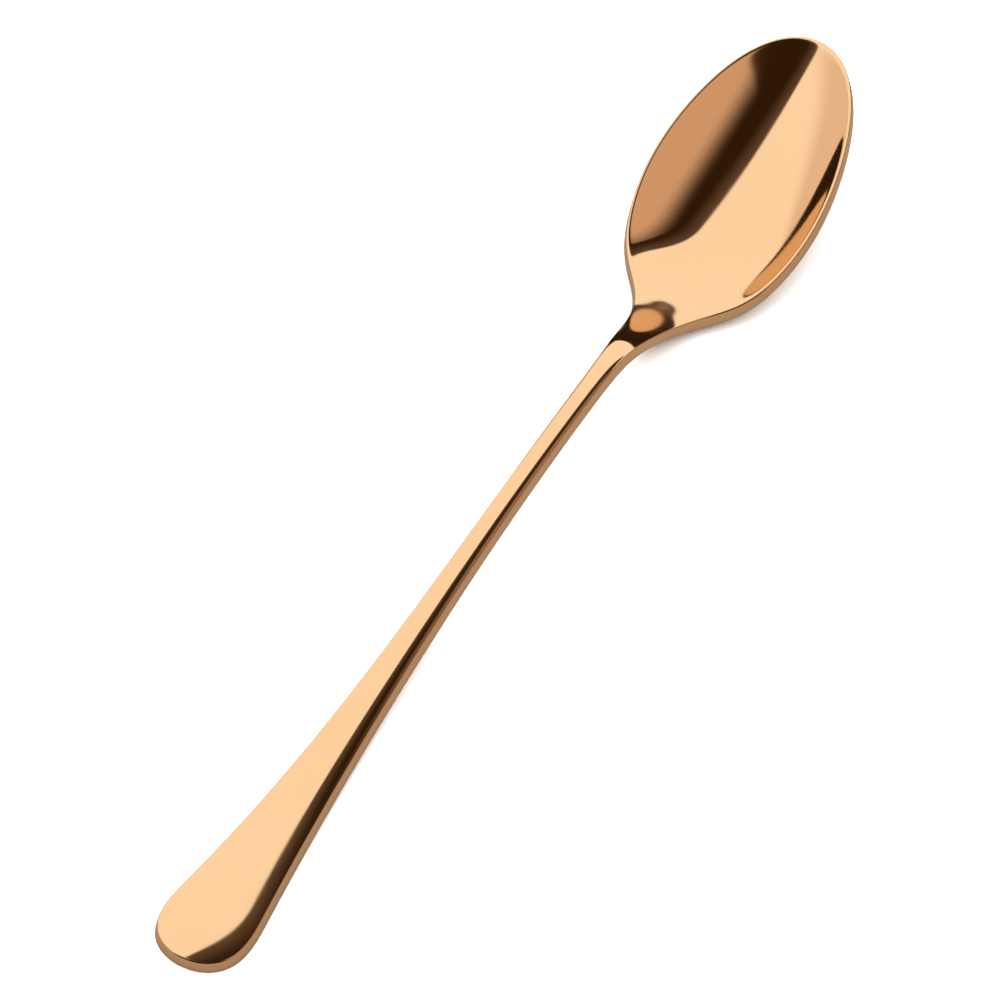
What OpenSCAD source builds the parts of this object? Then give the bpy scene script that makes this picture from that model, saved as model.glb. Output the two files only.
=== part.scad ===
// Iced tea spoon: a long slender handle with a low crown, a narrow neck that drops
// into the heel, and an egg shaped bowl that rises towards its tip.
// Millimetres. X runs from the handle's end to the bowl's tip, Y goes across, Z is up.
// The origin is on the table, under the middle of the spoon.

/* [Overall] */
// Length from the handle's end to the bowl's tip
spoon_len = 195; // [170:1:220]

/* [Handle] */
// Width of the handle where its round end begins
handle_w = 14.5; // [11:0.1:19]
// Length of the round end
end_len = 14.1; // [8:0.1:18]
// Power of the round end, a higher one makes it blunter
cap_power = 3; // [2:0.1:3.5]
// Thickness of the handle at its edge
handle_t = 2.1; // [1.8:0.1:2.8]
// Power of the taper, a higher one keeps the handle slender for longer
taper_power = 2.95; // [1.8:0.05:4]
// Height of the crown along the top, where the handle is widest
crown_h = 1.05; // [0.2:0.05:1.6]
// Power by which the crown gets lower as the handle narrows
crown_power = 0.8; // [0.4:0.05:1.5]

/* [Neck] */
// Width of the neck
neck_w = 4.1; // [3.6:0.1:5.2]
// Length of the even neck behind the bowl
neck_run = 23.3; // [12:0.1:35]
// Climb of the handle from its end to the neck
neck_rise = 8.05; // [5:0.05:11]
// Distance from the bowl back to the end of the climb
rise_back = 10.9; // [5:0.1:14]
// Distance from the bowl back to the point where the drop line starts
drop_back = 16.65; // [14:0.05:21]
// Slope of the drop from the neck to the heel
drop_slope = 0.528; // [0.3:0.002:0.56]
// Softness of the turn at the top of the drop
drop_soft = 1.02; // [0.4:0.02:1.4]
// Softness of the turn at the heel
heel_soft = 2.18; // [1:0.02:2.6]
// Distance from the bowl back to the point where the crown starts to fade
crown_back = 4.8; // [3:0.1:12]
// Length over which the crown fades
crown_fade = 6.6; // [4:0.1:9]

/* [Bowl] */
// Width of the bowl at its widest
bowl_w = 30.7; // [27:0.1:35]
// Length of the bowl's egg outline
bowl_len = 46; // [42:0.1:54]
// Share of half the bowl's length by which its widest part lies behind the middle
lean_share = 0.174; // [0.06:0.002:0.24]
// Fullness of the egg outline near its two ends
full_share = 0.21; // [0:0.01:0.35]
// Width left where the outline meets the neck
flare_share = 0.54; // [0.35:0.01:0.65]
// Length over which the neck flares into the bowl
flare_len = 30.5; // [25:0.1:34]
// Height of the rim above the table at the widest part
rim_h = 10.9; // [9:0.05:13]
// Slope of the rim at the widest part
rim_slope = 0.395; // [0.25:0.005:0.45]
// How far the tip stays under the straight line of the rim
tip_dip = 1.2; // [0:0.1:3]

/* [Dish] */
// Depth of the hollow below the rim
bowl_depth = 6.2; // [5:0.1:8.5]
// Roundness of the hollow's floor
dish_power = 1.18; // [1:0.01:1.6]
// Thickness at the rim
rim_t = 1.8; // [1.5:0.1:2.4]
// Thickness at the middle of the floor
floor_t = 1.2; // [1:0.1:1.8]
// Width of the flat land along the rim
rim_land = 0.25; // [0.15:0.05:0.5]
// Softness of the line between the land and the hollow
land_share = 0.02; // [0.01:0.005:0.05]
// Softness of the line between the edge and the underside
belly_share = 0.05; // [0.02:0.01:0.1]
// Distance from the bowl back to the point where the hollow starts
throat_back = 13.1; // [9:0.1:15]
// Length over which the hollow comes in
throat_len = 27; // [12:0.1:30]
// Length over which the underside follows it
belly_len = 20; // [12:0.1:24]

/* [Edges] */
// Angle by which the edge leans outwards to its foot, in degrees
edge_slant = 13; // [4:0.5:22]
// Rounding of the upper edge
top_r = 0.25; // [0.1:0.05:0.3]
// Rounding of the lower edge
under_r = 0.3; // [0.2:0.05:0.5]

/* [Detail] */
// Steps round the handle's end
end_steps = 8; // [6:1:12]
// Steps along the handle
handle_steps = 24; // [16:1:30]
// Steps from the neck to the heel
neck_steps = 25; // [18:1:30]
// Steps from the heel to the widest part
heel_steps = 14; // [8:1:16]
// Steps from the widest part to the tip
tip_steps = 22; // [14:1:26]
// Steps across the top
top_steps = 24; // [16:2:28]
// Steps across the underside
under_steps = 20; // [12:2:24]
// Steps round each edge
round_steps = 3; // [2:1:4]

/* [Hidden] */

steel = [0.93, 0.66, 0.5];

// Places along the spoon
end_x = -spoon_len / 2;
tip_x = spoon_len / 2;
cap_x = end_x + end_len;
heel_x = tip_x - bowl_len;
neck_x = heel_x - neck_run;
flare_x = heel_x - flare_len;

// The bowl's outline is a quartic over shares of half its length, measured from its middle.
// It is widest at minus lean_share, which settles its lean.
half_len = bowl_len / 2;
mid_x = tip_x - half_len;
wide_x = mid_x - lean_share * half_len;
front_len = tip_x - wide_x;
lean_sq = pow(lean_share, 2);
egg_lean = lean_share * (2 - 2 * full_share + 4 * full_share * lean_sq) / (1 - 3 * lean_sq);
egg_size = (1 - lean_sq) * (1 + egg_lean * lean_share + full_share * lean_sq);

// The stem fades over the heel, so that its end doesn't show in the outline
back_len = wide_x - heel_x;

// Turn of the upper rounding, and of the lower one, which together make half a turn
top_turn = 90 - edge_slant;
under_turn = 90 + edge_slant;

// Half the distance over which a slope is measured
probe = spoon_len / 10000;

// Smooth way from 0 to 1 that is level at both ends
function ease(f) = let (k = min(max(f, 0), 1)) pow(k, 3) * (10 - 15 * k + 6 * k * k);

// The larger one of m and 0, rounded off where they meet
function soft(m, e) = (m + sqrt(m * m + e * e)) / 2;

// Half width of the stem, without its round end
function stem_w(x) =
  let (f = max(neck_x - x, 0) / (neck_x - cap_x))
  neck_w / 2 + (handle_w - neck_w) / 2 * pow(f, taper_power);

// Square of the stem's half width, which rounds off its end
function stem_sq(x) =
  let (t = max(cap_x - x, 0) / end_len)
  pow(stem_w(x), 2) * (1 - pow(t, cap_power));

// Share of the bowl's half width, squared, along the egg outline
function egg(x) =
  let (k = (x - mid_x) / half_len)
  (1 - k * k) * (1 - egg_lean * k + full_share * k * k) / egg_size;

// Square of the outline's half width, which goes below zero past both ends
function plan_sq(x) =
  let (fade = 1 - ease((x - heel_x) / back_len))
  let (flare = x < wide_x ? soft(egg(x), flare_share * fade) * ease((x - flare_x) / flare_len) : egg(x))
  stem_sq(x) * fade + pow(bowl_w / 2, 2) * flare;

// Half the rate at which that square changes
function plan_lean(x) = (plan_sq(x + probe) - plan_sq(x - probe)) / (4 * probe);

// Distance that turns the square into a distance from the outline
function plan_grip(x) = norm([plan_lean(x), sqrt(max(plan_sq(x), 0))]);

// Place and half width of the outline moved inwards by r
function inset(x, r) =
  let (g = plan_lean(x))
  let (w = sqrt(max(plan_sq(x), 0)))
  let (n = norm([g, w]))
  [x + r * g / n, w - r * w / n];

// Height of the upper edge line above the table
function edge_z(x) =
  let (climb = handle_t + neck_rise * ease((x - end_x) / (heel_x - rise_back - end_x)))
  let (drop = handle_t + neck_rise - drop_slope * (x - heel_x + drop_back))
  let (stem = climb - soft(climb - drop, drop_soft * 2))
  let (g = x - wide_x)
  let (rim = rim_h + rim_slope * g - tip_dip * pow(g / front_len, 2))
  rim + soft(stem - rim, heel_soft * 2);

// Thickness at the edge
function edge_t(x) = handle_t + (rim_t - handle_t) * ease((x - neck_x) / (wide_x - neck_x));

// How far the top face starts inside the outline, past the slant and both roundings
function lip_in(x) =
  let (straight = edge_t(x) - top_r * (1 - sin(edge_slant)) - under_r * (1 + sin(edge_slant)))
  top_r * cos(edge_slant) + under_r * (1 - cos(edge_slant)) + straight * tan(edge_slant);

// Height of the crown over a top face of half width w, which ends at the neck
function crown_z(x, w) =
  let (s = stem_w(x))
  let (f = min(w / (s - lip_in(x)), 1))
  crown_h * pow(2 * s / handle_w, crown_power) * f * f * (1 - ease((x - heel_x + crown_back) / crown_fade));

// Depth of a dish whose shape is a power of the share left to the outline
function dish(m, e) = 1 - pow(1 - min(soft(m, e), 1), dish_power);

// Depth of the hollow below the rim
function hollow_z(x, y) =
  let (m = lip_in(x) + rim_land)
  let (left = plan_sq(x) - y * y - 2 * m * plan_grip(x) + m * m)
  bowl_depth * dish(left / pow(bowl_w / 2, 2), land_share) * ease((x - heel_x + throat_back) / throat_len);

// Depth of the belly under the edge
function belly_z(x, y) =
  let (left = plan_sq(x) - y * y)
  let (d = bowl_depth + floor_t - rim_t)
  d * dish(left / pow(bowl_w / 2, 2), belly_share) * ease((x - heel_x + throat_back) / belly_len);

// Shares across a row, closer together towards both edges
function row(n) = [for (i = [0:n]) sin(180 * i / n - 90)];

function top_row(x) =
  let (p = inset(x, lip_in(x)))
  let (z = edge_z(p[0]))
  let (c = crown_z(p[0], p[1]))
  [for (s = row(top_steps)) [p[0], s * p[1], z + c * (1 - s * s) - hollow_z(p[0], s * p[1])]];

function under_row(x) =
  let (p = inset(x, under_r))
  let (z = edge_z(p[0]) - edge_t(p[0]))
  [for (s = row(under_steps)) [p[0], s * p[1], z - belly_z(p[0], s * p[1])]];

// Points down one edge, between the last point of the top row and that of the lower row
function edge_col(x, top, low) =
  let (n = round_steps)
  concat(
    [for (i = [1:n])
      let (a = top_turn * i / n)
      let (p = inset(x, lip_in(x) - top_r * sin(a)))
      [p[0], p[1], top - top_r * (1 - cos(a))]],
    [for (i = [n:-1:1])
      let (a = under_turn * i / n)
      let (p = inset(x, under_r * (1 - sin(a))))
      [p[0], p[1], low + under_r * (1 - cos(a))]]);

function flip(list, side) = [for (i = [len(list) - 1:-1:0]) [list[i][0], side * list[i][1], list[i][2]]];

// One closed ring: across the top, down the left edge, back below, up the right edge
function ring(x) =
  let (top = top_row(x))
  let (low = under_row(x))
  let (col = edge_col(x, top[0][2], low[0][2]))
  concat(top, col, flip(low, 1), flip(col, -1));

// At both ends the ring closes to a single column
function pole(x) =
  let (top = top_row(x)[0])
  let (low = under_row(x)[0])
  concat([top], edge_col(x, top[2], low[2]), [low]);

// Places of the rings
stations = concat(
  [for (i = [0:end_steps]) end_x + end_len * (1 - cos(90 * i / end_steps))],
  [for (i = [1:handle_steps]) cap_x + (flare_x - cap_x) * i / handle_steps],
  [for (i = [1:neck_steps]) flare_x + (heel_x + rim_t - flare_x) * i / neck_steps],
  [for (i = [1:heel_steps]) heel_x + rim_t + (wide_x - heel_x - rim_t) * i / heel_steps],
  [for (i = [1:tip_steps]) wide_x + front_len * sin(90 * i / tip_steps)]);
last = len(stations) - 1;

// Points in a ring and in a pole
edge_n = 2 * round_steps;
ring_n = top_steps + under_steps + 2 + 2 * edge_n;
pole_n = edge_n + 2;

points = concat(
  pole(stations[0]),
  [for (i = [1:last - 1]) each ring(stations[i])],
  pole(stations[last]));

// Number of a ring's point j within a pole
function pole_j(j) =
  j <= top_steps ? 0
  : j <= top_steps + edge_n ? j - top_steps
  : j <= top_steps + edge_n + under_steps + 1 ? edge_n + 1
  : ring_n - j;

// Number of point j of ring i in the whole list
function point_n(i, j) =
  let (k = j % ring_n)
  i == 0 ? pole_j(k)
  : i == last ? pole_n + (last - 1) * ring_n + pole_j(k)
  : pole_n + (i - 1) * ring_n + k;

// The two diagonals mirror each other across the middle of the spoon
half_top = top_steps / 2;
half_low = top_steps + edge_n + 1 + under_steps / 2;

faces = [
  for (i = [0:last - 1], j = [0:ring_n - 1])
    let (a = point_n(i, j))
    let (b = point_n(i, j + 1))
    let (c = point_n(i + 1, j + 1))
    let (d = point_n(i + 1, j))
    for (f = j >= half_top && j < half_low ? [[a, b, c], [a, c, d]] : [[a, b, d], [b, c, d]])
      if (f[0] != f[1] && f[1] != f[2] && f[2] != f[0]) f];

// Lowest point of the underside, which comes to rest on the table
low_z = min([for (p = points) p[2]]);

module spoon() {
  color(steel)
    translate([0, 0, -low_z])
      polyhedron(points = points, faces = faces, convexity = 6);
}

spoon();
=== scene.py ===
import math
from typing import NamedTuple

import bmesh
import bpy
from bpy.props import FloatProperty, FloatVectorProperty, IntProperty, PointerProperty
from mathutils import Matrix, Vector


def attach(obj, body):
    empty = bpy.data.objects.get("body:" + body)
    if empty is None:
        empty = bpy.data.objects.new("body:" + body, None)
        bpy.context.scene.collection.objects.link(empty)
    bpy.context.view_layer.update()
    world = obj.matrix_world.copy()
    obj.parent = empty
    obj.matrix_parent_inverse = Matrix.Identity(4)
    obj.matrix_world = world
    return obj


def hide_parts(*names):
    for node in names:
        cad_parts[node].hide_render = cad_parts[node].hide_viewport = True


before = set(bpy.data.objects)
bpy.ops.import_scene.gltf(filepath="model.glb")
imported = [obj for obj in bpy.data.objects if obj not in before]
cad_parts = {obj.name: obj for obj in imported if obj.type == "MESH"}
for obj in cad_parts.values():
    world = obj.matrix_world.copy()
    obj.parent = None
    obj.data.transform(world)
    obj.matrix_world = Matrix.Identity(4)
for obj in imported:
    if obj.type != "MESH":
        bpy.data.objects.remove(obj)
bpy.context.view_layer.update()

# An iced tea spoon with a copper coloured mirror finish, on a pale table.
# The spoon is one closed loft. A Geometry Nodes tree works out its outline, edge line,
# crown, hollow and belly from the sizes in the panel. Everything is in metres, with X
# from the handle's end to the bowl's tip and Z up. The studio's lights and camera are
# placed in the studio's own directions: X to the picture's right, Y away from the camera.

bl_info = {
    "name": "Iced Tea Spoon",
    "version": (1, 0, 0),
    "blender": (4, 5, 0),
    "location": "3D View > Sidebar > Spoon",
    "description": "Builds an iced tea spoon with a copper coloured mirror finish, and a small studio",
    "category": "Add Mesh",
}

MM = 0.001


def length(name, description, millimetres):
    """A size in metres, written here in millimetres."""
    return FloatProperty(
        name=name, description=description, default=millimetres * MM,
        unit="LENGTH", subtype="DISTANCE", precision=5)


def share(name, description, default):
    """A plain number, such as a share, a slope or a power."""
    return FloatProperty(name=name, description=description, default=default, precision=4)


def colour(name, description, default):
    """A colour, written here as red, green and blue from 0 to 1."""
    return FloatVectorProperty(
        name=name, description=description, default=default, size=3, subtype="COLOR",
        min=0, max=1)


def angle(name, description, degrees):
    """An angle in radians, written here in degrees."""
    return FloatProperty(
        name=name, description=description, default=math.radians(degrees), subtype="ANGLE")


def pixels(name, description, default):
    """A place in the picture, in pixels of a picture 1000 pixels wide and high."""
    return FloatProperty(
        name=name, description=description, default=default, subtype="PIXEL", precision=1)


def watts(name, description, default):
    """The power of a light."""
    return FloatProperty(name=name, description=description, default=default, subtype="POWER")


class SpoonSizes(bpy.types.PropertyGroup):
    """Sizes that set the spoon's form"""

    spoon_len: length("Length", "From the handle's end to the bowl's tip", 195)
    handle_w: length("Handle width", "Width where the round end begins", 14.5)
    end_len: length("End length", "Length of the handle's round end", 14.1)
    cap_power: share("End power", "A higher one makes the round end blunter", 3)
    handle_t: length("Handle thickness", "Thickness of the handle at its edge", 2.1)
    taper_power: share("Taper power", "A higher one keeps the handle slender for longer", 2.95)
    crown_h: length("Crown height", "Height of the crown where the handle is widest", 1.05)
    crown_power: share("Crown power", "Power by which the crown follows the width", 0.8)
    neck_w: length("Neck width", "Width of the neck", 4.1)
    neck_run: length("Neck length", "Length of the even neck behind the bowl", 23.3)
    neck_rise: length("Neck rise", "Climb of the handle from its end to the neck", 8.05)
    rise_back: length("Rise end", "From the bowl back to the end of the climb", 10.9)
    drop_back: length("Drop start", "From the bowl back to where the drop line starts", 16.65)
    drop_slope: share("Drop slope", "Slope of the drop from the neck to the heel", 0.528)
    drop_soft: length("Drop softness", "Softness of the turn at the top of the drop", 1.02)
    heel_soft: length("Heel softness", "Softness of the turn at the heel", 2.18)
    crown_back: length("Crown end", "From the bowl back to where the crown fades", 4.8)
    crown_fade: length("Crown fade", "Length over which the crown fades", 6.6)
    bowl_w: length("Bowl width", "Width of the bowl at its widest", 30.7)
    bowl_len: length("Bowl length", "Length of the bowl's egg outline", 46)
    lean_share: share("Bowl lean", "How far the widest part lies behind the middle", 0.174)
    full_share: share("Bowl fullness", "Fullness of the outline near its two ends", 0.21)
    flare_share: share("Flare", "Width left where the outline meets the neck", 0.54)
    flare_len: length("Flare length", "Length over which the neck flares", 30.5)
    rim_h: length("Rim height", "Height of the rim at the widest part", 10.9)
    rim_slope: share("Rim slope", "Slope of the rim at the widest part", 0.395)
    tip_dip: length("Tip dip", "How far the tip stays under the rim's straight line", 1.2)
    bowl_depth: length("Bowl depth", "Depth of the hollow below the rim", 6.2)
    dish_power: share("Dish power", "Roundness of the hollow's floor", 1.18)
    rim_t: length("Rim thickness", "Thickness at the rim", 1.8)
    floor_t: length("Floor thickness", "Thickness at the middle of the floor", 1.2)
    rim_land: length("Rim land", "Width of the flat land along the rim", 0.25)
    land_share: share("Land softness", "Softness of the line between land and hollow", 0.02)
    belly_share: share("Belly softness", "Softness of the line between edge and underside", 0.05)
    throat_back: length("Throat start", "From the bowl back to where the hollow starts", 13.1)
    throat_len: length("Throat length", "Length over which the hollow comes in", 27)
    belly_len: length("Belly length", "Length over which the underside follows it", 20)
    edge_slant: angle("Edge slant", "Angle by which the edge leans outwards to its foot", 13)
    top_r: length("Upper rounding", "Rounding of the upper edge", 0.25)
    under_r: length("Lower rounding", "Rounding of the lower edge", 0.3)


class SpoonSteps(bpy.types.PropertyGroup):
    """Steps of the mesh"""

    along: IntProperty(name="Along", description="Steps along the spoon", default=560)
    top: IntProperty(name="Top", description="Steps across half the top", default=46)
    edge: IntProperty(name="Upper rounding", description="Steps round the upper edge", default=4)
    wall: IntProperty(name="Wall", description="Steps down the edge face", default=2)
    foot: IntProperty(name="Lower rounding", description="Steps round the lower edge", default=5)
    under: IntProperty(name="Underside", description="Steps across half the underside", default=27)


class CopperFilm(bpy.types.PropertyGroup):
    """Finish of the spoon"""

    light_tint: colour("Light tint", "Colour of the film where it is thickest", (0.735, 0.475, 0.265))
    deep_tint: colour("Deep tint", "Colour of the film where it is thinnest", (0.72, 0.46, 0.25))
    gloss: share("Polish", "Roughness of the clean polished film", 0.05)
    smear: share("Smears", "Roughness that faint smears add", 0.05)


class Studio(bpy.types.PropertyGroup):
    """Camera and lights"""

    turn: angle("Turn", "Turn of the spoon away from the picture's right", 59.1)
    height: angle("Height", "Angle of the camera above the table", 52.58)
    distance: length("Distance", "From the camera to the spoon's origin", 2000)
    scale: share("Scale", "Pixels to a millimetre at the spoon's origin", 6.37)
    origin_x: pixels("Origin X", "Place of the spoon's origin in the picture, from its left", 507.2)
    origin_y: pixels("Origin Y", "Place of the spoon's origin in the picture, from its top", 532.5)
    ceiling: length("Panel height", "Height of the light panels above the table", 400)
    key_turn: angle("Key turn", "Turn of the wide panel", 31)
    key_light: share("Key panel", "Brightness of the wide panel", 1.33)
    dusk_colour: colour("Dusk", "Colour of the wide panel's dim end", (0.79, 0.69, 0.64))
    glow_light: share("Glow", "Brightness of the faint glow beside the wide panel", 0.085)
    fill_turn: angle("Fill turn", "Turn of the panel past the slit", 47.5)
    fill_light: share("Fill panel", "Brightness of the panel past the slit", 0.82)
    fill_colour: colour("Fill colour", "Colour of the panel past the slit", (1, 0.76, 0.63))
    table_light: watts("Table light", "Power of the light that falls on the table alone", 100)


class PanelSides(NamedTuple):
    """Sides of a light panel in metres, along and beside the spoon's origin.

    The soft share is the part of its width over which its near side gets brighter.
    """

    start: float
    end: float
    near: float
    far: float
    soft_share: float


# The glow lies against the wide panel, and the dark slit lies between it and the fill panel
KEY_SIDES = PanelSides(start=-0.75, end=1.6, near=-0.044, far=-1.5, soft_share=0.009)
GLOW_SIDES = PanelSides(
    start=KEY_SIDES.start, end=KEY_SIDES.end, near=0.04, far=KEY_SIDES.near, soft_share=1)
FILL_SIDES = PanelSides(start=-0.1, end=1.4, near=-0.065, far=-0.95, soft_share=0.25)


class Number:
    """One number in a node tree, which Python expressions turn into Math nodes."""

    def __init__(self, bench, socket):
        self.bench = bench
        self.socket = socket

    def __add__(self, other):
        return self.bench.number("ADD", self, other)

    def __sub__(self, other):
        return self.bench.number("SUBTRACT", self, other)

    def __mul__(self, other):
        return self.bench.number("MULTIPLY", self, other)

    def __truediv__(self, other):
        return self.bench.number("DIVIDE", self, other)

    def __pow__(self, other):
        return self.bench.number("POWER", self, other)

    def __radd__(self, other):
        return self.bench.number("ADD", other, self)

    def __rsub__(self, other):
        return self.bench.number("SUBTRACT", other, self)

    def __rmul__(self, other):
        return self.bench.number("MULTIPLY", other, self)

    def __rtruediv__(self, other):
        return self.bench.number("DIVIDE", other, self)

    def __neg__(self):
        return self.bench.number("MULTIPLY", self, -1)

    def __abs__(self):
        return self.bench.number("ABSOLUTE", self)

    def root(self):
        return self.bench.number("SQRT", self)

    def sine(self):
        return self.bench.number("SINE", self)

    def cosine(self):
        return self.bench.number("COSINE", self)

    def tangent(self):
        return self.bench.number("TANGENT", self)

    def nearest(self):
        """The nearest whole number."""
        return self.bench.number("ROUND", self)

    def at_least(self, other):
        return self.bench.number("MAXIMUM", self, other)

    def at_most(self, other):
        return self.bench.number("MINIMUM", self, other)

    def below(self, other):
        """1 where this is less than the other, and 0 elsewhere."""
        return self.bench.number("LESS_THAN", self, other)

    def within(self):
        """Held between 0 and 1."""
        return self.at_least(0).at_most(1)


class Bench:
    """A node tree, with one way to add a node to it."""

    def __init__(self, tree):
        self.tree = tree

    def fill(self, socket, value):
        """Give a socket a value, or link one to it."""
        if isinstance(value, Number):
            value = value.socket
        if isinstance(value, bpy.types.NodeSocket):
            self.tree.links.new(value, socket)
        else:
            socket.default_value = value

    def add(self, kind, settings=None, values=None):
        """Add a node, with its settings first and then its sockets by name or place."""
        node = self.tree.nodes.new(kind)
        for name, setting in (settings or {}).items():
            if name == "stops":
                self.set_stops(node.color_ramp, setting)
            else:
                setattr(node, name, setting)
        for name, value in (values or {}).items():
            self.fill(node.inputs[name], value)
        return node

    @staticmethod
    def set_stops(ramp, stops):
        """Grey stops of a ramp, each one a place and a level."""
        while len(ramp.elements) < len(stops):
            ramp.elements.new(1)
        for element, (place, level) in zip(ramp.elements, stops):
            element.position = place
            element.color = (level, level, level, 1)

    def number(self, operation, *terms):
        """Add a Math node on numbers."""
        node = self.add("ShaderNodeMath", {"operation": operation}, dict(enumerate(terms)))
        return Number(self, node.outputs[0])

    def parts(self, vector):
        """The three numbers of a vector."""
        node = self.add("ShaderNodeSeparateXYZ", values={"Vector": vector})
        return [Number(self, socket) for socket in node.outputs]

    def mixed(self, way, start, end):
        """A colour part of the way from one to another."""
        node = self.add("ShaderNodeMix", {"data_type": "RGBA"}, {"Factor": way, 6: start, 7: end})
        return node.outputs[2]

    def vector(self, x, y, z):
        return self.add("ShaderNodeCombineXYZ", values={"X": x, "Y": y, "Z": z}).outputs[0]


def ease(way):
    """Smooth way from 0 to 1 that is level at both ends."""
    k = way.within()
    return k * k * k * (k * (k * 6 - 15) + 10)


def soft(level, width):
    """The larger one of a level and 0, rounded off where they meet."""
    return (level + (level * level + width * width).root()) / 2


def mix(way, start, end):
    """A number part of the way from one to another."""
    return start + way * (end - start)


def crowded(way):
    """Even steps made to crowd a little towards the edge, where the hollow turns fastest."""
    crowd = 0.6
    return mix(crowd, way, (way * (math.pi / 2)).sine())


class SpoonForm:
    """The rules of the spoon's form, in the same terms as its solid model."""

    def __init__(self, sizes):
        vars(self).update(sizes)
        self.end_x = self.spoon_len / -2
        self.tip_x = self.spoon_len / 2
        self.cap_x = self.end_x + self.end_len
        self.heel_x = self.tip_x - self.bowl_len
        self.neck_x = self.heel_x - self.neck_run
        self.flare_x = self.heel_x - self.flare_len
        self.half_len = self.bowl_len / 2
        self.mid_x = self.tip_x - self.half_len
        self.wide_x = self.mid_x - self.lean_share * self.half_len
        self.front_len = self.tip_x - self.wide_x
        self.back_len = self.wide_x - self.heel_x
        self.half_sq = self.bowl_w * self.bowl_w / 4
        # Distance to each side over which the outline's slope is measured
        self.probe = self.spoon_len / 2000
        lean_sq = self.lean_share * self.lean_share
        self.egg_lean = (
            self.lean_share * (2 - 2 * self.full_share + 4 * self.full_share * lean_sq)
            / (1 - 3 * lean_sq))
        self.egg_size = (
            (1 - lean_sq) * (1 + self.egg_lean * self.lean_share + self.full_share * lean_sq))

    def stem_w(self, x):
        """Half width of the stem, without its round end."""
        far = (self.neck_x - x).at_least(0) / (self.neck_x - self.cap_x)
        return self.neck_w / 2 + (self.handle_w - self.neck_w) / 2 * far ** self.taper_power

    def stem_sq(self, x):
        """Square of the stem's half width, which rounds off its end."""
        half = self.stem_w(x)
        cap = (self.cap_x - x).at_least(0) / self.end_len
        return half * half * (1 - cap ** self.cap_power)

    def egg(self, x):
        """Share of the bowl's half width, squared."""
        k = (x - self.mid_x) / self.half_len
        return (1 - k * k) * (1 - self.egg_lean * k + self.full_share * k * k) / self.egg_size

    def plan_sq(self, x):
        """Square of the outline's half width, which goes below zero past both ends."""
        fade = 1 - ease((x - self.heel_x) / self.back_len)
        lobe = self.egg(x)
        flared = soft(lobe, self.flare_share * fade) * ease((x - self.flare_x) / self.flare_len)
        lobe = mix(x.below(self.wide_x), lobe, flared)
        return self.stem_sq(x) * fade + self.half_sq * lobe

    def outline(self, x):
        """Half width of the outline, and half the rate at which its square changes."""
        lean = (self.plan_sq(x + self.probe) - self.plan_sq(x - self.probe)) / (4 * self.probe)
        return self.plan_sq(x).at_least(0).root(), lean

    def edge_z(self, x):
        """Height of the upper edge line."""
        rise_len = self.heel_x - self.rise_back - self.end_x
        climb = self.handle_t + self.neck_rise * ease((x - self.end_x) / rise_len)
        drop = (
            self.handle_t + self.neck_rise
            - self.drop_slope * (x - self.heel_x + self.drop_back))
        stem = climb - soft(climb - drop, self.drop_soft * 2)
        ahead = x - self.wide_x
        dip = ahead / self.front_len
        rim = self.rim_h + self.rim_slope * ahead - self.tip_dip * dip * dip
        return rim + soft(stem - rim, self.heel_soft * 2)

    def edge_t(self, x):
        """Thickness at the edge."""
        way = ease((x - self.neck_x) / (self.wide_x - self.neck_x))
        return mix(way, self.handle_t, self.rim_t)

    def lip_in(self, x):
        """How far the top face starts inside the outline."""
        sine = self.edge_slant.sine()
        cosine = self.edge_slant.cosine()
        straight = self.edge_t(x) - self.top_r * (1 - sine) - self.under_r * (1 + sine)
        rounded = self.top_r * cosine + self.under_r * (1 - cosine)
        return rounded + straight * self.edge_slant.tangent()

    def crown_z(self, x, half):
        """Height of the crown over a top face of this half width."""
        stem = self.stem_w(x)
        filled = (half / (stem - self.lip_in(x))).at_most(1)
        fade = ease((x - self.heel_x + self.crown_back) / self.crown_fade)
        height = self.crown_h * (stem * 2 / self.handle_w) ** self.crown_power
        return height * filled * filled * (1 - fade)

    def dish(self, left, width):
        """Depth of a dish as a share, from the share left to the outline."""
        return 1 - (1 - soft(left, width).at_most(1)) ** self.dish_power

    def hollow_z(self, x, y, half, lean):
        """Depth of the hollow below the rim."""
        margin = self.lip_in(x) + self.rim_land
        grip = (lean * lean + half * half).root()
        left = half * half - y * y - 2 * margin * grip + margin * margin
        throat = ease((x - self.heel_x + self.throat_back) / self.throat_len)
        return self.bowl_depth * self.dish(left / self.half_sq, self.land_share) * throat

    def belly_z(self, x, y, half):
        """Depth of the belly under the edge."""
        depth = self.bowl_depth + self.floor_t - self.rim_t
        left = (half * half - y * y) / self.half_sq
        throat = ease((x - self.heel_x + self.throat_back) / self.belly_len)
        return depth * self.dish(left, self.belly_share) * throat


def half_ring_steps(steps):
    """Steps round half a section, from the middle of the top to the middle underneath."""
    return steps.top + steps.edge + steps.wall + steps.foot + steps.under


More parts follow.
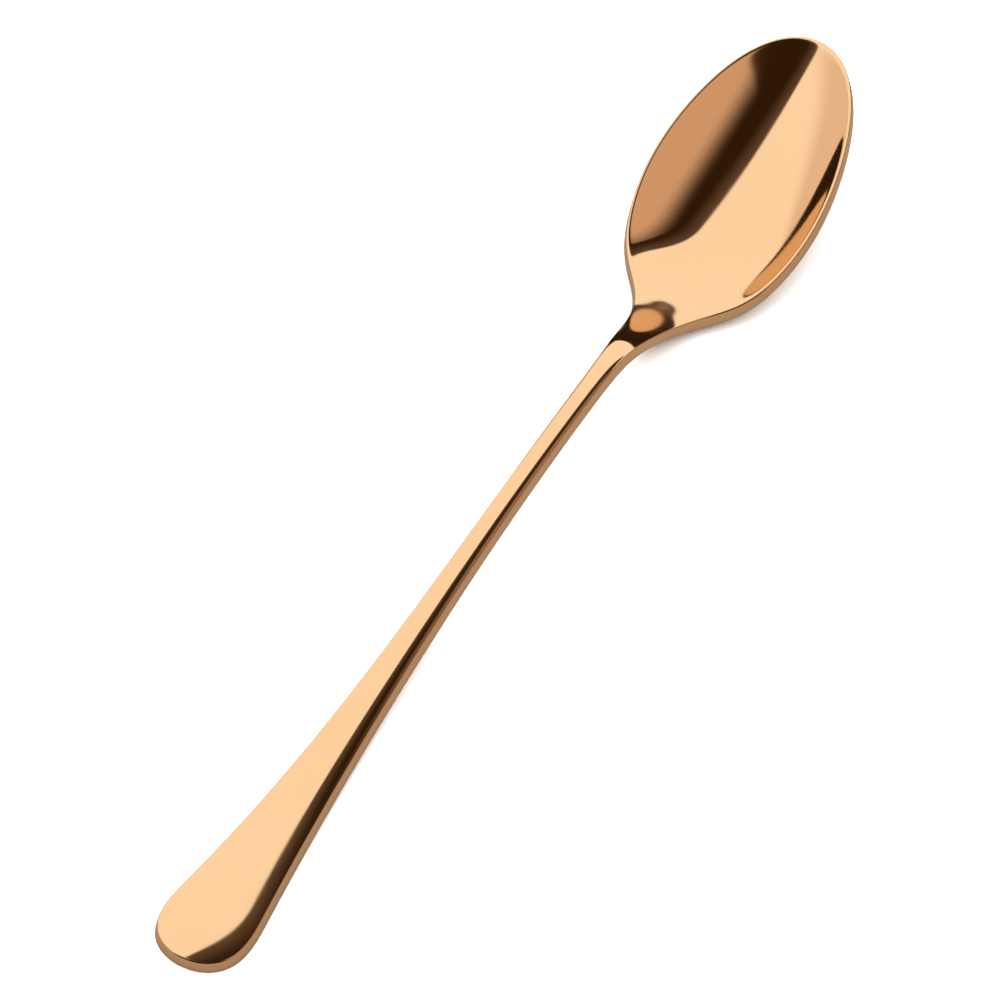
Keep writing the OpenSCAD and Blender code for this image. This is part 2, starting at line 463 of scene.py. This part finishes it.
def ring_place(form, steps, along, around):
    """Where a point of the loft goes, from its shares along the spoon and around it."""
    half_turn = math.pi
    quarter = math.pi / 2
    half_ring = half_ring_steps(steps)
    count = (around * (2 * half_ring)).nearest()
    step = half_ring - abs(half_ring - count)
    side = 1 - 2 * (half_ring + 0.5 - count).below(0)

    def stretch(start, steps_in):
        """Share of a stretch of the ring that lies behind this point."""
        return ((step - start) / steps_in).within()

    on_top = stretch(0, steps.top)
    on_edge = stretch(steps.top, steps.edge)
    on_wall = stretch(steps.top + steps.edge, steps.wall)
    on_foot = stretch(steps.top + steps.edge + steps.wall, steps.foot)
    on_under = stretch(half_ring - steps.under, steps.under)

    x = form.tip_x * -1 * (along * half_turn).cosine()
    half, lean = form.outline(x)
    # The first and the last ring close to a point
    first_step = 1 / steps.along
    half = half * abs(along - 0.5).below(0.5 - first_step / 4)
    grip = (half * half + lean * lean).root()

    def inset(distance):
        """Place along the spoon and half width of the outline moved inwards."""
        return x + distance * lean / grip, half - distance * half / grip

    across = crowded(on_top) * crowded(1 - on_under)
    lip = form.lip_in(x)
    edge_turn = (quarter - form.edge_slant) * on_edge
    foot_turn = (quarter + form.edge_slant) * (1 - on_foot)
    edge_in = lip - form.top_r * edge_turn.sine()
    foot_in = form.under_r * (1 - foot_turn.sine())
    own_x, own_half = inset(mix(on_wall, edge_in, foot_in))

    top_x, top_half = inset(lip)
    top_y = top_half * across
    plan_half, plan_lean = form.outline(top_x)
    crown = form.crown_z(top_x, top_half) * (1 - across * across)
    hollow = form.hollow_z(top_x, top_y, plan_half, plan_lean)
    top_z = form.edge_z(top_x) + crown - hollow - form.top_r * (1 - edge_turn.cosine())

    low_x, low_half = inset(form.under_r)
    low_y = low_half * across
    low_plan = form.plan_sq(low_x).at_least(0).root()
    low_z = form.edge_z(low_x) - form.edge_t(low_x) - form.belly_z(low_x, low_y, low_plan)
    low_z = low_z + form.under_r * (1 - foot_turn.cosine())

    return own_x, side * across * own_half, mix(on_wall, top_z, low_z)


def loft_tree(steps, film):
    """Node tree that builds the whole spoon as one closed loft."""
    tree = bpy.data.node_groups.new("spoon_loft", "GeometryNodeTree")
    tree.interface.new_socket("Geometry", in_out="OUTPUT", socket_type="NodeSocketGeometry")
    bench = Bench(tree)
    labels = {key: SpoonSizes.bl_rna.properties[key].name for key in SpoonSizes.__annotations__}
    for label in labels.values():
        tree.interface.new_socket(label, in_out="INPUT", socket_type="NodeSocketFloat")
    given = bench.add("NodeGroupInput")
    form = SpoonForm({key: Number(bench, given.outputs[label]) for key, label in labels.items()})

    weld_gap = 0.0001 * MM
    grid = bench.add("GeometryNodeMeshGrid", values={
        "Size X": 1, "Size Y": 1,
        "Vertices X": steps.along + 1, "Vertices Y": 2 * half_ring_steps(steps) + 1})
    position = bench.add("GeometryNodeInputPosition").outputs[0]
    across, up, _ = bench.parts(position)
    place = bench.vector(*ring_place(form, steps, across + 0.5, up + 0.5))
    lofted = bench.add("GeometryNodeSetPosition", values={
        "Geometry": grid.outputs["Mesh"], "Position": place})
    closed = bench.add("GeometryNodeMergeByDistance", values={
        "Geometry": lofted.outputs[0], "Distance": weld_gap})

    height = bench.parts(bench.add("GeometryNodeInputPosition").outputs[0])[2]
    measured = bench.add("GeometryNodeAttributeStatistic", values={
        "Geometry": closed.outputs[0], "Attribute": height})
    lift = -Number(bench, measured.outputs["Min"])
    resting = bench.add("GeometryNodeSetPosition", values={
        "Geometry": closed.outputs[0], "Offset": bench.vector(0, 0, lift)})
    smooth = bench.add("GeometryNodeSetShadeSmooth", values={"Geometry": resting.outputs[0]})
    real = bench.add("GeometryNodeRealizeInstances", values={"Geometry": smooth.outputs[0]})
    coated = bench.add("GeometryNodeSetMaterial", values={
        "Geometry": real.outputs[0], "Material": film})
    bench.add("NodeGroupOutput", values={"Geometry": coated.outputs[0]})
    return tree, labels


def grow(name, tree, labels, sizes):
    """Run a tree on an empty object, and keep what comes out as a plain mesh."""
    piece = bpy.data.objects.new(name, bpy.data.meshes.new(name))
    bpy.context.scene.collection.objects.link(piece)
    modifier = piece.modifiers.new("Loft", "NODES")
    modifier.node_group = tree
    sockets = {item.name: item for item in tree.interface.items_tree}
    for key, label in labels.items():
        modifier[sockets[label].identifier] = getattr(sizes, key)
    graph = bpy.context.evaluated_depsgraph_get()
    mesh = bpy.data.meshes.new_from_object(piece.evaluated_get(graph), depsgraph=graph)
    piece.modifiers.remove(modifier)
    piece.data = mesh
    mesh.name = name
    return piece


def check_closed(piece):
    """Stop if a mesh isn't closed, or is inside out."""
    mesh = bmesh.new()
    mesh.from_mesh(piece.data)
    open_edges = sum(not edge.is_manifold for edge in mesh.edges)
    volume = mesh.calc_volume(signed=True)
    mesh.free()
    if open_edges or volume <= 0:
        raise RuntimeError(f"{piece.name}: {open_edges} open edges, volume {volume}")


def copper_film(finish):
    """Mirror of polished steel under a copper coloured film, with faint smears and polish lines."""
    cloud_size = 30 * MM
    cloud_low = 0.35
    cloud_gain = 3
    smear_size = 14 * MM
    smear_stops = [(0.48, 0), (0.72, 1)]
    smear_stretch = (0.5, 1, 1)
    line_gap = 0.35 * MM
    line_stretch = (0.02, 1, 1)
    line_depth = 0.001 * MM
    line_strength = 0.25
    line_rough = 0.01

    material = bpy.data.materials.new("copper_film")
    material.use_nodes = True
    material.node_tree.nodes.clear()
    bench = Bench(material.node_tree)
    place = bench.add("ShaderNodeTexCoord").outputs["Object"]

    def pattern(size, detail, stretch=(1, 1, 1)):
        """Noise whose patches are about this size, in metres."""
        stretched = bench.add("ShaderNodeMapping", values={"Vector": place, "Scale": stretch})
        noise = bench.add("ShaderNodeTexNoise", values={
            "Vector": stretched.outputs[0], "Scale": 1 / size, "Detail": detail})
        return Number(bench, noise.outputs[0])

    cloud = ((pattern(cloud_size, 2) - cloud_low) * cloud_gain).within()
    tint = bench.mixed(cloud, (*finish.deep_tint, 1), (*finish.light_tint, 1))

    smears = bench.add("ShaderNodeValToRGB", {"stops": smear_stops}, {
        "Fac": pattern(smear_size, 4, smear_stretch)})
    smeared = finish.gloss + finish.smear * Number(bench, smears.outputs["Color"])
    lines = pattern(line_gap, 2, line_stretch)
    ripple = bench.add("ShaderNodeBump", values={
        "Strength": line_strength, "Distance": line_depth, "Height": lines})
    shine = bench.add("ShaderNodeBsdfPrincipled", values={
        "Base Color": tint, "Metallic": 1, "Roughness": smeared + line_rough * lines,
        "Normal": ripple.outputs[0]})
    bench.add("ShaderNodeOutputMaterial", values={"Surface": shine.outputs[0]})
    return material


def table_white():
    """Smooth white table top, which the polished metal mirrors darker than it looks: what it mirrors
    is painted shade, a darker copy of the table's white that stands in for less light falling on the
    table.
    """
    dull_white = (0.93, 0.925, 0.915, 1)
    clean_white = (0.95, 0.95, 0.945, 1)
    # Painted shade: a darker copy of the table's white, standing in for dimmer light on the table
    shaded_mirrored_white = (0.225, 0.195, 0.175, 1)
    clouds_a_metre = 4

    material = bpy.data.materials.new("table_white")
    material.use_nodes = True
    material.node_tree.nodes.clear()
    bench = Bench(material.node_tree)
    place = bench.add("ShaderNodeTexCoord").outputs["Object"]
    noise = bench.add("ShaderNodeTexNoise", values={
        "Vector": place, "Scale": clouds_a_metre, "Detail": 1})
    bleached = bench.mixed(noise.outputs[0], dull_white, clean_white)
    mirrored = bench.add("ShaderNodeLightPath").outputs["Is Glossy Ray"]
    # Glossy rays see the painted shade copy, and other rays see the bleached white
    tint = bench.mixed(mirrored, bleached, shaded_mirrored_white)
    matt = bench.add("ShaderNodeBsdfPrincipled", values={
        "Base Color": tint, "Roughness": 0.9, "Specular IOR Level": 0.2})
    bench.add("ShaderNodeOutputMaterial", values={"Surface": matt.outputs[0]})
    return material


def from_studio(studio, x, y, z):
    """Turn a place in the studio's directions into the spoon's frame."""
    return Matrix.Rotation(-studio.turn, 3, "Z") @ Vector((x, y, z))


def add_light(name, place, turn, long, wide, power):
    """A level panel of light that faces down and stays out of the picture."""
    panel = bpy.data.lights.new(name, "AREA")
    panel.shape = "RECTANGLE"
    panel.size = long
    panel.size_y = wide
    panel.energy = power
    holder = bpy.data.objects.new(name, panel)
    holder.location = place
    holder.rotation_euler.z = turn
    holder.visible_camera = False
    bpy.context.scene.collection.objects.link(holder)
    return holder


def ceiling_panel(studio, name, turn, sides, brightness):
    """A panel overhead that is turned this much in the studio and has these sides."""
    along = Vector((math.cos(turn), math.sin(turn)))
    beside = Vector((-math.sin(turn), math.cos(turn)))
    middle = along * (sides.start + sides.end) / 2 + beside * (sides.near + sides.far) / 2
    place = from_studio(studio, middle.x, middle.y, studio.ceiling)
    long = sides.end - sides.start
    wide = abs(sides.far - sides.near)
    power = brightness * math.pi * long * wide
    return add_light(name, place, turn - studio.turn, long, wide, power)


def fade_in(panel, soft_share, least=0, dusk=(1, 1, 1)):
    """Let a panel get brighter from its near side, over a share of its width.

    Its near side has the least level. The far part of its length takes on the colour of dusk.
    """
    dusk_start = 0.41
    dusk_len = 0.08
    panel.data.use_nodes = True
    bench = Bench(panel.data.node_tree)
    bench.tree.nodes.clear()
    spot = bench.add("ShaderNodeNewGeometry").outputs["Parametric"]
    along, beside, _ = bench.parts(spot)
    full = bench.mixed(ease((along - dusk_start) / dusk_len), (1, 1, 1, 1), (*dusk, 1))
    level = bench.mixed(ease((1 - beside) / soft_share), (least, least, least, 1), full)
    glow = bench.add("ShaderNodeEmission", values={"Color": level})
    bench.add("ShaderNodeOutputLight", values={"Surface": glow.outputs[0]})


def add_camera(studio):
    """Camera at the photograph's angle, whose picture is 1000 pixels wide and high."""
    picture = 1000
    sensor = 36
    sight_end = 20
    data = bpy.data.cameras.new("camera")
    data.sensor_width = sensor
    data.lens = sensor * studio.scale * studio.distance / MM / picture
    data.shift_x = (picture / 2 - studio.origin_x) / picture
    data.shift_y = (studio.origin_y - picture / 2) / picture
    data.clip_end = sight_end
    camera = bpy.data.objects.new("camera", data)
    back = Vector((0, -math.cos(studio.height), math.sin(studio.height)))
    camera.location = from_studio(studio, *(back * studio.distance))
    camera.rotation_euler = (math.pi / 2 - studio.height, 0, -studio.turn)
    bpy.context.scene.collection.objects.link(camera)
    bpy.context.scene.camera = camera


class BuildSpoon(bpy.types.Operator):
    """Build the spoon: handle, neck and bowl in one piece"""

    bl_idname = "spoon.build_spoon"
    bl_label = "Build the spoon"

    def execute(self, context):
        film = copper_film(context.scene.copper_film)
        tree, labels = loft_tree(context.scene.spoon_steps, film)
        piece = grow("spoon_body", tree, labels, context.scene.spoon_sizes)
        check_closed(piece)
        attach(piece, "root")
        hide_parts("spoon")
        return {"FINISHED"}


class SetStage(bpy.types.Operator):
    """Set the table, the lights and the camera"""

    bl_idname = "spoon.set_stage"
    bl_label = "Set the stage"

    def execute(self, context):
        studio = context.scene.studio
        table_side = 8
        table_light_side = 3
        table_light_height = 1.5
        room_colour = (0.036, 0.018, 0.006, 1)

        bpy.ops.mesh.primitive_plane_add(size=table_side)
        table = context.active_object
        table.name = "table_top"
        table.data.materials.append(table_white())

        # The wide panel and the glow are turned about, so that each fades in from the slit
        key_turn = studio.key_turn + math.pi
        edge_level = studio.glow_light / studio.key_light
        key = ceiling_panel(studio, "key_panel", key_turn, KEY_SIDES, studio.key_light)
        fade_in(key, KEY_SIDES.soft_share, edge_level, studio.dusk_colour)
        glow = ceiling_panel(studio, "glow_panel", key_turn, GLOW_SIDES, studio.glow_light)
        glow.data.color = studio.fill_colour
        fade_in(glow, GLOW_SIDES.soft_share)
        fill = ceiling_panel(
            studio, "fill_panel", studio.fill_turn, FILL_SIDES, studio.fill_light)
        fill.data.color = studio.fill_colour
        fade_in(fill, FILL_SIDES.soft_share)
        table_light = add_light(
            "table_light", (0, 0, table_light_height), 0,
            table_light_side, table_light_side, studio.table_light)
        table_light.visible_glossy = False

        world = bpy.data.worlds.new("dim_room")
        world.use_nodes = True
        room = world.node_tree.nodes["Background"]
        room.inputs["Color"].default_value = room_colour
        context.scene.world = world
        context.scene.view_settings.view_transform = "Standard"
        add_camera(studio)
        return {"FINISHED"}


class SpoonPanel(bpy.types.Panel):
    """Sizes, finish and studio of the spoon"""

    bl_idname = "VIEW3D_PT_iced_tea_spoon"
    bl_label = "Iced Tea Spoon"
    bl_space_type = "VIEW_3D"
    bl_region_type = "UI"
    bl_category = "Spoon"

    def draw(self, context):
        for group in GROUPS:
            box = self.layout.box()
            box.label(text=GROUPS[group].bl_rna.description)
            for key in GROUPS[group].__annotations__:
                box.prop(getattr(context.scene, group), key)
        for operator in (SetStage, BuildSpoon):
            self.layout.operator(operator.bl_idname)


GROUPS = {
    "spoon_sizes": SpoonSizes,
    "spoon_steps": SpoonSteps,
    "copper_film": CopperFilm,
    "studio": Studio,
}
CLASSES = (*GROUPS.values(), BuildSpoon, SetStage, SpoonPanel)


def register():
    for item in CLASSES:
        bpy.utils.register_class(item)
    for name, group in GROUPS.items():
        setattr(bpy.types.Scene, name, PointerProperty(type=group))


def unregister():
    for name in GROUPS:
        delattr(bpy.types.Scene, name)
    for item in reversed(CLASSES):
        bpy.utils.unregister_class(item)


def main():
    register()
    bpy.ops.spoon.set_stage()
    bpy.ops.spoon.build_spoon()


if __name__ == "__main__":
    main()
